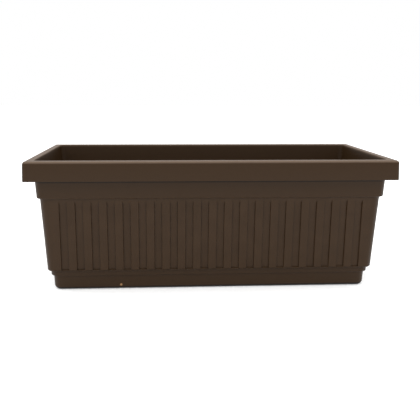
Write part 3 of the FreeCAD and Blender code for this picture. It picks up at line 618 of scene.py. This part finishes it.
def shell_faces(rows):
    faces = []
    width = len(rows[0][0])
    for row in range(len(rows) - 1):
        for station in range(width):
            after = (station + 1) % width
            corners = [(row, station), (row, after), (row + 1, after), (row + 1, station)]
            ids = [at * width + column for at, column in corners]
            deep = [rows[at][1][column] for at, column in corners]
            if sum(deep) == 1:
                first = deep.index(True)
                ids = ids[first:] + ids[:first]
                faces += [ids[:3], [ids[0], ids[2], ids[3]]]
            else:
                faces.append(ids)
    faces.append(list(range(width))[::-1])
    faces.append([(len(rows) - 1) * width + station for station in range(width)])
    return faces


def carve(piece, tools):
    """Applies each (operation, tool) to the piece's mesh, then removes the tools."""
    for operation, tool in tools:
        step = piece.modifiers.new("carve", "BOOLEAN")
        step.operation = operation
        step.object = tool
        step.solver = "EXACT"
    bpy.context.view_layer.update()
    shaped = piece.evaluated_get(bpy.context.evaluated_depsgraph_get())
    mesh = bpy.data.meshes.new_from_object(shaped)
    piece.modifiers.clear()
    piece.data = mesh
    mesh.name = piece.name
    for _, tool in tools:
        bpy.data.objects.remove(tool)


def shell_piece():
    rows = shell_rows()
    vertices = [point for points, _ in rows for point in points]
    shell = add_piece("planter_shell_skin", (vertices, shell_faces(rows)), "shell_plastic", "shell",
                      stands_for=("planter_shell",))
    to_back = out_of_back("drain_gasket")
    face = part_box("drain_gasket")[0].y
    boss_path = rounded_path([(0, face - BOSS_DEPTH, 0), (BOSS_RADIUS, face - BOSS_DEPTH, 0.0008),
                              (BOSS_RADIUS, face, 0.001), (0, face, 0)])
    boss = moved(lathe(boss_path, (0, 0), 48), to_back)
    bore_start, bore_end = face - 0.02, face + 0.01
    bore_path = [(0, bore_start), (BOSS_BORE, bore_start), (BOSS_BORE, bore_end), (0, bore_end)]
    bore = moved(lathe(bore_path, (0, 0), 48), to_back)
    tilt = Matrix.Translation(middle("overflow_spout")) @ Matrix.Rotation(math.radians(-SPOUT_TILT), 4, "X")
    hole = moved(lathe([(0, -0.02), (SPOUT_HOLE, -0.02), (SPOUT_HOLE, 0.02), (0, 0.02)], (0, 0), 32), tilt)
    carve(shell, [("UNION", new_object("boss", *boss)), ("DIFFERENCE", new_object("bore", *bore)),
                  ("DIFFERENCE", new_object("hole", *hole))])
    soften(shell, 0.0006)


# ---------------------------------------------------------------- parts that keep their CAD shape

def finish_cad_parts():
    """Gives every CAD part its finish, and eases the edges of those that stay in sight."""
    for entry in frame["record"]["subparts"]:
        part = frame["nodes"][entry["node"]]
        part.data.materials.clear()
        part.data.materials.append(FINISHES[entry["material_slot"]])
        if not part.hide_render:
            soften(part, EASED_EDGES.get(entry["node"], EASED_EDGE), angle=35)


# ---------------------------------------------------------------- soil platform and baskets

def rib(start, end, level):
    half = RIB_THICKNESS / 2
    low = (min(start[0], end[0]) - half, min(start[1], end[1]) - half, level - 0.0004)
    high = (max(start[0], end[0]) + half, max(start[1], end[1]) + half, level + RIB_HEIGHT)
    return block(low, high)


def platform_ribs():
    """Stiffening ribs on the deck: two along it, and pairs across it between the baskets and the legs."""
    low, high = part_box("soil_platform")
    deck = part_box("wicking_basket_middle")[1].z - BASKET_FLANGE
    bars = [rib((low.x + DECK_MARGIN, y), (high.x - DECK_MARGIN, y), deck) for y in (-RIB_OFFSET, RIB_OFFSET)]
    halfway = middle("wicking_basket_right").x / 2
    for x in (side * halfway + step for side in (-1, 1) for step in (-RIB_SPREAD, RIB_SPREAD)):
        bars.append(rib((x, -RIB_OFFSET), (x, RIB_OFFSET), deck))
        for side in (-1, 1):
            bars.append(rib((x, side * RIB_OFFSET), (x, side * (high.y - DECK_MARGIN)), deck))
    add_piece("platform_ribs", merge(*bars), "platform_plastic", "insert", soft=0.0005)


def basket_hoops(node):
    """Hoops round the basket that tie its staves together, and a rolled lip on its flange."""
    low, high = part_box(node)
    centre = middle(node)
    flange = (high.x - low.x) / 2
    sections = []
    for level in HOOP_LEVELS:
        radius = flange - BASKET_LIP - (high.z - level) * BASKET_SLOPE
        sections.append(bar_section(radius - 0.0021, radius + 0.0003, level - 0.0013, level + 0.0013, 0.0006))
    lip = [(flange - 0.0016, high.z - 0.0004, 0), (flange - 0.0002, high.z - 0.0004, 0.0003),
           (flange - 0.0002, high.z + 0.0010, 0.0006), (flange - 0.0016, high.z + 0.0010, 0.0006)]
    sections.append(rounded_path(lip, closed=True))
    hoops = merge(*(lathe(section, centre, closed=True) for section in sections))
    add_piece(node + "_hoops", hoops, "basket_plastic", "insert")


# ---------------------------------------------------------------- fill cap and level indicator

def fill_cap_trim():
    """A raised ring on the lid, grip ridges on its tab, and a plain water drop in the middle."""
    low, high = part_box("fill_cap")
    mouth = middle("fill_tube")
    foot, top = high.z - SEAT, high.z + TRIM_HEIGHT
    radius = (high.x - low.x) / 2 - CAP_RING_MARGIN
    ring = bar_section(radius - 0.0016, radius, foot, high.z + 0.0009, 0.0005, square_foot=True)
    parts = [lathe(ring, mouth, closed=True)]
    left, right = mouth.x - RIDGE_HALF_LENGTH, mouth.x + RIDGE_HALF_LENGTH
    for step in range(3):
        y = low.y + 0.0016 + step * RIDGE_PITCH
        parts.append(block((left, y, foot), (right, y + 0.0009, top)))
    parts.append(prism(drop_outline(mouth), foot, top))
    add_piece("fill_cap_trim", merge(*parts), "cap_plastic", "cap", soft=0.0002)


def drop_outline(centre):
    """A water drop, round in front and pointed behind."""
    outline = []
    for step in range(32):
        angle = 2 * math.pi * step / 32
        across = DROP_HALF_WIDTH * math.sin(angle) * math.sin(angle / 2) ** 1.4
        outline.append((centre.x + across, centre.y + DROP_HALF_LENGTH * math.cos(angle)))
    return outline


def sight_marks():
    """Bands round the sight tube that show the low and full levels of the float's tip."""
    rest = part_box("indicator_tip")[1].z
    travel = next(joint for joint in frame["joints"] if joint["name"] == "float_rise")["range_m"][1]
    inner, outer = SIGHT_RADIUS - 0.0004, SIGHT_RADIUS + 0.0005
    for name, level, slot in (("low_mark", rest, "tip_plastic"), ("full_mark", rest + travel, "rod_plastic")):
        low, high = level - MARK_HALF_HEIGHT, level + MARK_HALF_HEIGHT
        band = rounded_path([(inner, low, 0), (outer, low, 0.0003), (outer, high, 0.0003), (inner, high, 0)],
                            closed=True)
        add_piece("sight_cap_" + name, lathe(band, middle("sight_cap"), closed=True), slot, "insert")


def float_piece():
    """Foam float with rounded ends, a parting groove round its middle and a socket for the rod."""
    low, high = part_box("indicator_float")
    radius = (high.x - low.x) / 2
    waist = (low.z + high.z) / 2
    bottom = high.z - 0.008
    path = rounded_path([(0, low.z, 0), (radius, low.z, 0.0024), (radius, waist - 0.0008, 0.0003),
                         (radius - 0.0006, waist, 0), (radius, waist + 0.0008, 0.0003),
                         (radius, high.z, 0.0024), (ROD_SOCKET, high.z, 0.0005), (ROD_SOCKET, bottom, 0),
                         (0, bottom, 0)])
    add_piece("indicator_float_foam", lathe(path, middle("indicator_float"), 48), "float_foam", "float",
              stands_for=("indicator_float",))


def tip_piece():
    """The indicator's bright tip, with a domed top and a bead round its foot."""
    low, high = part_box("indicator_tip")
    radius = (high.x - low.x) / 2
    neck = radius - 0.0007
    end = low.z + 0.006
    path = rounded_path([(0, end, 0), (ROD_SOCKET, end, 0), (ROD_SOCKET, low.z, 0.0003),
                         (radius, low.z, 0.0006), (radius, low.z + 0.002, 0.0005),
                         (neck, low.z + 0.0026, 0.0004), (neck, high.z, 0.0034), (0, high.z, 0)])
    add_piece("indicator_tip_dome", lathe(path, middle("indicator_tip"), 48), "tip_plastic", "float",
              stands_for=("indicator_tip",))


# ---------------------------------------------------------------- drain

def gasket_piece():
    low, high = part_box("drain_gasket")
    section = bar_section(GASKET_BORE, (high.x - low.x) / 2, low.y, high.y, 0.0007)
    bead = moved(lathe(section, (0, 0), 64, closed=True), out_of_back("drain_gasket"))
    add_piece("drain_gasket_bead", bead, "gasket_rubber", "gasket", stands_for=("drain_gasket",))


def thread_ridge(angle, level):
    """0 in the thread's root and 1 on its crest."""
    turn = (level / THREAD_PITCH - angle / (2 * math.pi)) % 1.0
    return max(0.0, min(1.0, 1.9 - abs(turn - 0.5) * 6.0))


def plug_rings(low, shoulder, head):
    """(level, radius at each angle) up the plug's bore, its thread and its scalloped head."""
    angles = [2 * math.pi * part / PLUG_TURNS for part in range(PLUG_TURNS)]
    hollow = ((PLUG_BORE, shoulder - 0.002), (PLUG_BORE, low), (THREAD_ROOT - 0.0003, low))
    rings = [(level, [radius] * PLUG_TURNS) for radius, level in hollow]
    first = low + 0.0004
    levels = [first + (shoulder - 0.0006 - low) * step / THREAD_ROWS for step in range(THREAD_ROWS + 1)]
    for level in levels:
        fade = max(0.0, min(1.0, (level - first) / 0.0015, (levels[-1] - level) / 0.001))
        height = (THREAD_CREST - THREAD_ROOT) * fade
        rings.append((level, [THREAD_ROOT + height * thread_ridge(angle, level) for angle in angles]))
    widest = max(radius for radius, _ in head)
    for radius, level in head:
        scallop = 0.0005 * max(0.0, (radius - widest + 0.002) / 0.002)
        rings.append((level, [radius - scallop * (0.5 + 0.5 * math.cos(24 * angle)) for angle in angles]))
    return rings


def stack(rings):
    """Joins rings of radii into one closed part about the Z axis."""
    vertices = []
    for level, radii in rings:
        for part, radius in enumerate(radii):
            angle = 2 * math.pi * part / len(radii)
            vertices.append(Vector((radius * math.cos(angle), radius * math.sin(angle), level)))
    count = len(rings[0][1])
    faces = []
    for start in range(0, len(vertices) - count, count):
        for part in range(count):
            after = (part + 1) % count
            faces.append([start + part, start + after, start + count + after, start + count + part])
    faces.append(list(range(count))[::-1])
    faces.append(list(range(len(vertices) - count, len(vertices))))
    return vertices, faces


def plug_piece():
    """Screw plug: a hollow threaded shank, a fluted head and a finger grip across it."""
    low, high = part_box("drain_plug")
    radius = (high.x - low.x) / 2
    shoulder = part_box("drain_gasket")[1].y
    face = shoulder + (high.y - shoulder) / 2
    head = rounded_path([(THREAD_ROOT, shoulder, 0), (radius, shoulder, 0.0008), (radius, face, 0.0014),
                         (0, face, 0)])[1:-1]
    grip = prism(grip_outline(radius * 0.85, 0.002), face - 0.0006, high.y)
    plug = moved(merge(stack(plug_rings(low.y, shoulder, head)), grip), out_of_back("drain_plug"))
    add_piece("drain_plug_threaded", plug, "cap_plastic", "plug", stands_for=("drain_plug",), soft=0.0003)


def grip_outline(half_length, half_thickness):
    """A finger grip, waisted in the middle and round at its ends."""
    outline = []
    for step in range(40):
        angle = 2 * math.pi * step / 40
        x = half_length * math.cos(angle)
        waist = 0.72 + 0.28 * (x / half_length) ** 2
        y = half_thickness * waist * math.copysign(abs(math.sin(angle)) ** 0.35, math.sin(angle))
        outline.append((x, y))
    return outline


# ---------------------------------------------------------------- studio

def studio():
    """A plain pale floor that glows a little, so that its shadows stay light."""
    floor = new_object("studio_floor", *block((-9, -9, -0.02), (9, 9, 0)))
    finish = Finish("studio_floor", Specular_IOR_Level=0.1, Emission_Color=WHITE, Emission_Strength=0.15)
    pale = finish.blend(finish.noise(3.0), (0.89, 0.89, 0.89, 1), (0.91, 0.91, 0.91, 1))
    floor.data.materials.append(finish.feed(Base_Color=pale, Roughness=0.9))


def surroundings():
    """White all round, and half as bright overhead."""
    world = bpy.data.worlds.new("studio_world")
    world.use_nodes = True
    graph = Graph(world.node_tree)
    heading = graph.node("ShaderNodeTexCoord", output="Generated")
    height = graph.node("ShaderNodeSeparateXYZ", None, {0: heading}, "Z")
    sockets = {"Value": height, "From Min": 0.18, "From Max": 0.36, "To Min": 1.0, "To Max": 0.5}
    background = graph.nodes["Background"]
    join(background.inputs["Strength"], graph.node("ShaderNodeMapRange", None, sockets))
    join(background.inputs["Color"], WHITE)
    bpy.context.scene.world = world


def overhead_light():
    """One large soft light from above."""
    light = bpy.data.lights.new("overhead_light", "SUN")
    light.energy = 4.4
    light.angle = math.radians(110)
    holder = bpy.data.objects.new("overhead_light", light)
    holder.location = (0, 0, 2)
    holder.rotation_euler = (math.radians(4), math.radians(-4), 0)
    bpy.context.scene.collection.objects.link(holder)


def set_camera():
    """A level studio camera a little above the rim and left of the middle."""
    lens = bpy.data.cameras.new("camera")
    lens.sensor_width = 36
    lens.lens = 45.224
    lens.shift_x = 0.0356
    lens.shift_y = -0.1121
    camera = bpy.data.objects.new("camera", lens)
    yaw, pitch, roll = -0.05487, 0.14455, 0.0044
    rows = Matrix.Rotation(roll, 3, "Y") @ Matrix.Rotation(pitch, 3, "X") @ Matrix.Rotation(-yaw, 3, "Z")
    right, ahead, above = rows
    turn = Matrix((right, above, -ahead)).transposed()
    camera.matrix_world = Matrix.Translation((-0.08629, -1.07984, 0.38646)) @ turn.to_4x4()
    bpy.context.scene.collection.objects.link(camera)
    bpy.context.scene.camera = camera


shell_piece()
platform_ribs()
for basket in ("wicking_basket_left", "wicking_basket_middle", "wicking_basket_right"):
    basket_hoops(basket)
fill_cap_trim()
sight_marks()
float_piece()
tip_piece()
gasket_piece()
plug_piece()
finish_cad_parts()

studio()
surroundings()
overhead_light()
set_camera()
bpy.context.scene.view_settings.view_transform = "Standard"
